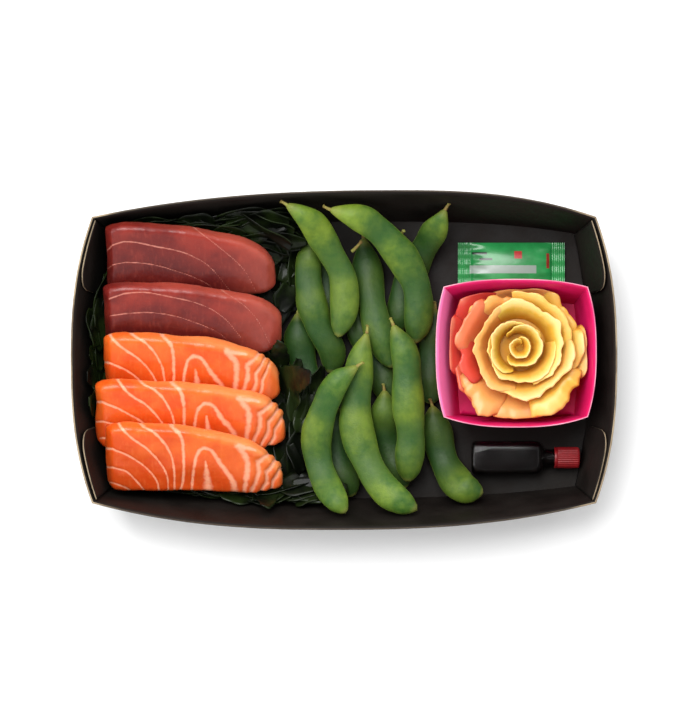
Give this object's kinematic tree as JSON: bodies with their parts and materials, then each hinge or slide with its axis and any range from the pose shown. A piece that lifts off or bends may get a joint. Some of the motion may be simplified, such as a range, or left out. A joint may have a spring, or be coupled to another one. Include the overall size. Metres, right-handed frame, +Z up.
{
  "type": "takeaway sushi tray",
  "caption": "Open folded card tray holding shingled raw fish slices on seaweed, a pile of edamame pods, a card pot with a ginger rose, a condiment sachet and a small soy bottle.",
  "frame": {"origin": "on the ground under the middle of the tray", "axes": "+X along the tray's long side, towards the pot; +Y across it, towards the back wall; +Z up"},
  "size_m": [0.236, 0.1468, 0.0393],
  "materials": {
    "black_card": "uncoated black card with a cream cut edge",
    "seaweed": "wet dark green leaf",
    "tuna": "moist deep red fish with faint pale lines",
    "salmon": "moist orange fish with pale fat lines",
    "edamame_skin": "matt green skin with fine fuzz",
    "pink_card": "matt pink card with a white cut edge",
    "ginger": "moist pale yellow to pink petals",
    "green_film": "satin printed film",
    "clear_plastic": "clear soft plastic",
    "soy_liquid": "dark liquid",
    "red_plastic": "satin red plastic"
  },
  "bodies": {
    "root": {"tray": "black_card", "wakame_bed": "seaweed", "tuna_slice_1": "tuna", "tuna_slice_2": "tuna", "salmon_slice_1": "salmon", "salmon_slice_2": "salmon", "salmon_slice_3": "salmon", "edamame_pod_01": "edamame_skin", "edamame_pod_02": "edamame_skin", "edamame_pod_03": "edamame_skin", "edamame_pod_04": "edamame_skin", "edamame_pod_05": "edamame_skin", "edamame_pod_06": "edamame_skin", "edamame_pod_07": "edamame_skin", "edamame_pod_08": "edamame_skin", "edamame_pod_09": "edamame_skin", "edamame_pod_10": "edamame_skin", "edamame_pod_11": "edamame_skin", "edamame_pod_12": "edamame_skin", "edamame_pod_13": "edamame_skin", "edamame_pod_14": "edamame_skin", "edamame_pod_15": "edamame_skin", "ginger_pot": "pink_card", "ginger_rose": "ginger", "condiment_sachet": "green_film", "soy_bottle": "clear_plastic", "soy_sauce": "soy_liquid", "soy_cap": "red_plastic"}
  },
  "joints": []
}
